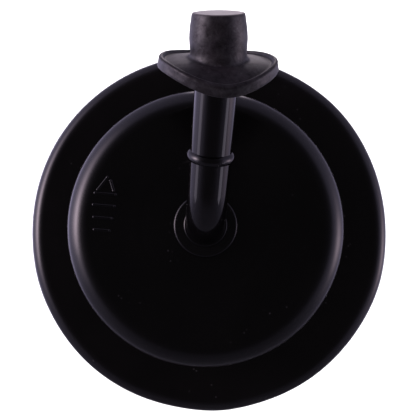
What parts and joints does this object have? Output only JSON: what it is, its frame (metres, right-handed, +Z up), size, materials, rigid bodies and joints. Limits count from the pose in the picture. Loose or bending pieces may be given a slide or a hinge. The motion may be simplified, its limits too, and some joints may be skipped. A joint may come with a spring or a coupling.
{
  "type": "sink plunger",
  "caption": "Sink plunger with a soft force cup under a stiff round dome, a swivelling bent pipe on top and a brimmed rubber stopper closing the pipe's end.",
  "frame": {"origin": "on the plunger's axis, in the plane that the sealing lip rests on", "axes": "+Z up along the plunger's axis; the bent pipe's free end points along +Y at rest"},
  "size_m": [0.15, 0.15, 0.0961],
  "materials": {
    "soft_rubber": "satin",
    "black_plastic": "satin",
    "glossy_plastic": "gloss",
    "grey_rubber": "matt, dusty",
    "steel": "bright zinc"
  },
  "bodies": {
    "cup": {"force_cup": "soft_rubber"},
    "dome": {"dome_shell": "black_plastic", "clamp_ring": "black_plastic", "clamp_screws": "steel", "gland_bush": "black_plastic", "gland_seal": "soft_rubber", "gland_washer": "steel", "gland_nut": "black_plastic"},
    "pipe": {"bent_pipe": "glossy_plastic", "swivel_collar": "glossy_plastic", "pipe_o_rings": "soft_rubber", "thrust_washer": "steel", "retaining_clip": "steel"},
    "stopper": {"stopper": "grey_rubber"}
  },
  "joints": [
    {"name": "cup_press", "type": "slide", "parent": "cup", "child": "dome", "axis": [0, 0, 1], "range_m": [-0.007, 0], "stiffness_N_per_m": 3000, "springref_m": 0.0015, "deforming": ["force_cup"]},
    {"name": "pipe_swivel", "type": "hinge", "parent": "dome", "child": "pipe", "pos_m": [0, 0, 0.03], "axis": [0, 0, 1], "continuous": true},
    {"name": "stopper_pull", "type": "slide", "parent": "pipe", "child": "stopper", "axis": [0, 0.8988, 0.4384], "range_m": [0, 0.03]}
  ]
}
